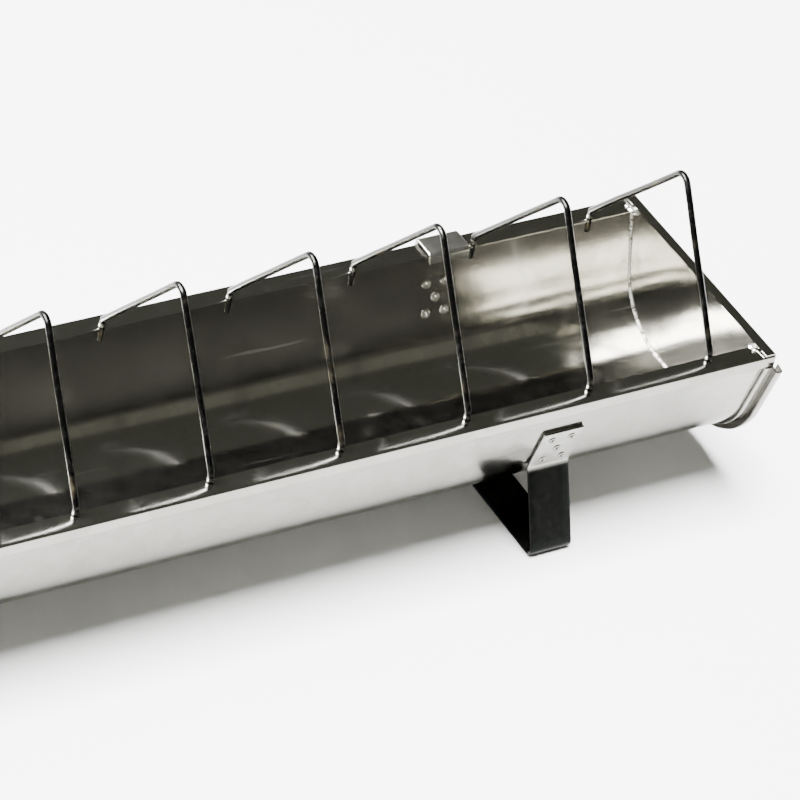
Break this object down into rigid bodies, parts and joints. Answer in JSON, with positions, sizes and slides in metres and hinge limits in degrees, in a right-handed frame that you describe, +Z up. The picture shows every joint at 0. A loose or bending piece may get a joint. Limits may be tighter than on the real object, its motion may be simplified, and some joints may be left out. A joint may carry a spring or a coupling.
{
  "type": "trough feeder",
  "caption": "Long galvanised sheet trough on two bent strap legs, with folded rims and a row of pointed wire bows that keep birds out of the feed.",
  "frame": {"origin": "on the floor, under the middle of the trough", "axes": "+X along the trough, +Y across it towards the rim that the leg straps hook over, +Z up"},
  "size_m": [1, 0.171, 0.1841],
  "materials": {
    "trough_sheet": "galvanised, satin with soft spangle",
    "end_sheet": "galvanised, satin with soft spangle",
    "leg_strap": "galvanised, darker and rougher",
    "rivet_metal": "bright rolled edges",
    "bow_wire": "dark drawn wire"
  },
  "bodies": {
    "trough": {"trough_body": "trough_sheet", "end_wall_left": "end_sheet", "end_wall_right": "end_sheet", "leg_left": "leg_strap", "leg_right": "leg_strap", "rivets_left": "rivet_metal", "rivets_right": "rivet_metal"},
    "bow_01": {"wire_bow_01": "bow_wire"},
    "bow_02": {"wire_bow_02": "bow_wire"},
    "bow_03": {"wire_bow_03": "bow_wire"},
    "bow_04": {"wire_bow_04": "bow_wire"},
    "bow_05": {"wire_bow_05": "bow_wire"},
    "bow_06": {"wire_bow_06": "bow_wire"},
    "bow_07": {"wire_bow_07": "bow_wire"},
    "bow_08": {"wire_bow_08": "bow_wire"},
    "bow_09": {"wire_bow_09": "bow_wire"},
    "bow_10": {"wire_bow_10": "bow_wire"},
    "bow_11": {"wire_bow_11": "bow_wire"},
    "bow_12": {"wire_bow_12": "bow_wire"},
    "bow_13": {"wire_bow_13": "bow_wire"}
  },
  "joints": [
    {"name": "bow_01_lift", "type": "slide", "parent": "trough", "child": "bow_01", "axis": [0, 0, 1], "range_m": [0, 0.015]},
    {"name": "bow_02_lift", "type": "slide", "parent": "trough", "child": "bow_02", "axis": [0, 0, 1], "range_m": [0, 0.015]},
    {"name": "bow_03_lift", "type": "slide", "parent": "trough", "child": "bow_03", "axis": [0, 0, 1], "range_m": [0, 0.015]},
    {"name": "bow_04_lift", "type": "slide", "parent": "trough", "child": "bow_04", "axis": [0, 0, 1], "range_m": [0, 0.015]},
    {"name": "bow_05_lift", "type": "slide", "parent": "trough", "child": "bow_05", "axis": [0, 0, 1], "range_m": [0, 0.015]},
    {"name": "bow_06_lift", "type": "slide", "parent": "trough", "child": "bow_06", "axis": [0, 0, 1], "range_m": [0, 0.015]},
    {"name": "bow_07_lift", "type": "slide", "parent": "trough", "child": "bow_07", "axis": [0, 0, 1], "range_m": [0, 0.015]},
    {"name": "bow_08_lift", "type": "slide", "parent": "trough", "child": "bow_08", "axis": [0, 0, 1], "range_m": [0, 0.015]},
    {"name": "bow_09_lift", "type": "slide", "parent": "trough", "child": "bow_09", "axis": [0, 0, 1], "range_m": [0, 0.015]},
    {"name": "bow_10_lift", "type": "slide", "parent": "trough", "child": "bow_10", "axis": [0, 0, 1], "range_m": [0, 0.015]},
    {"name": "bow_11_lift", "type": "slide", "parent": "trough", "child": "bow_11", "axis": [0, 0, 1], "range_m": [0, 0.015]},
    {"name": "bow_12_lift", "type": "slide", "parent": "trough", "child": "bow_12", "axis": [0, 0, 1], "range_m": [0, 0.015]},
    {"name": "bow_13_lift", "type": "slide", "parent": "trough", "child": "bow_13", "axis": [0, 0, 1], "range_m": [0, 0.015]}
  ]
}
